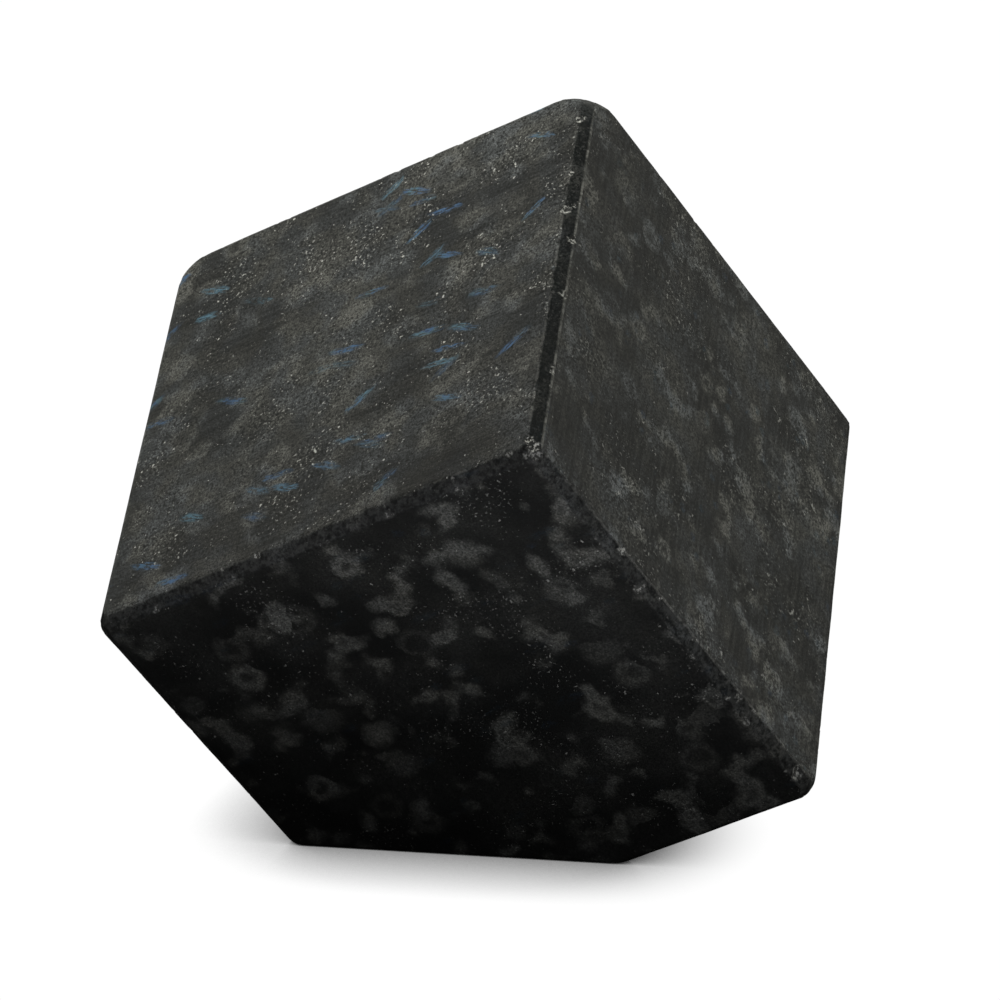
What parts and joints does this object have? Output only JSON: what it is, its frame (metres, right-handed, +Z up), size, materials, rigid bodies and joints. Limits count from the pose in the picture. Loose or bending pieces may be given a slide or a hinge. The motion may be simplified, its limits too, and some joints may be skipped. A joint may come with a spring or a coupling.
{
  "type": "stone block",
  "caption": "Near-cubic block of honed dark granite with bevelled edges and worn corners, standing on one flat-cut corner.",
  "frame": {"origin": "centre of the standing facet, the flat cut on which the block rests", "axes": "+Z up, square to the standing facet and away from it; +X to the right and -Y to the front, where the facet's long front edge runs 6.3 degrees off +X and the nearest upright edge of the block leans towards the viewer"},
  "size_m": [0.1448, 0.1508, 0.1364],
  "materials": {
    "stone": "honed dark granite with olive-grey mineral patches, blue flecks and fine pale specks"
  },
  "bodies": {
    "root": {"stone_block": "stone"}
  },
  "joints": []
}
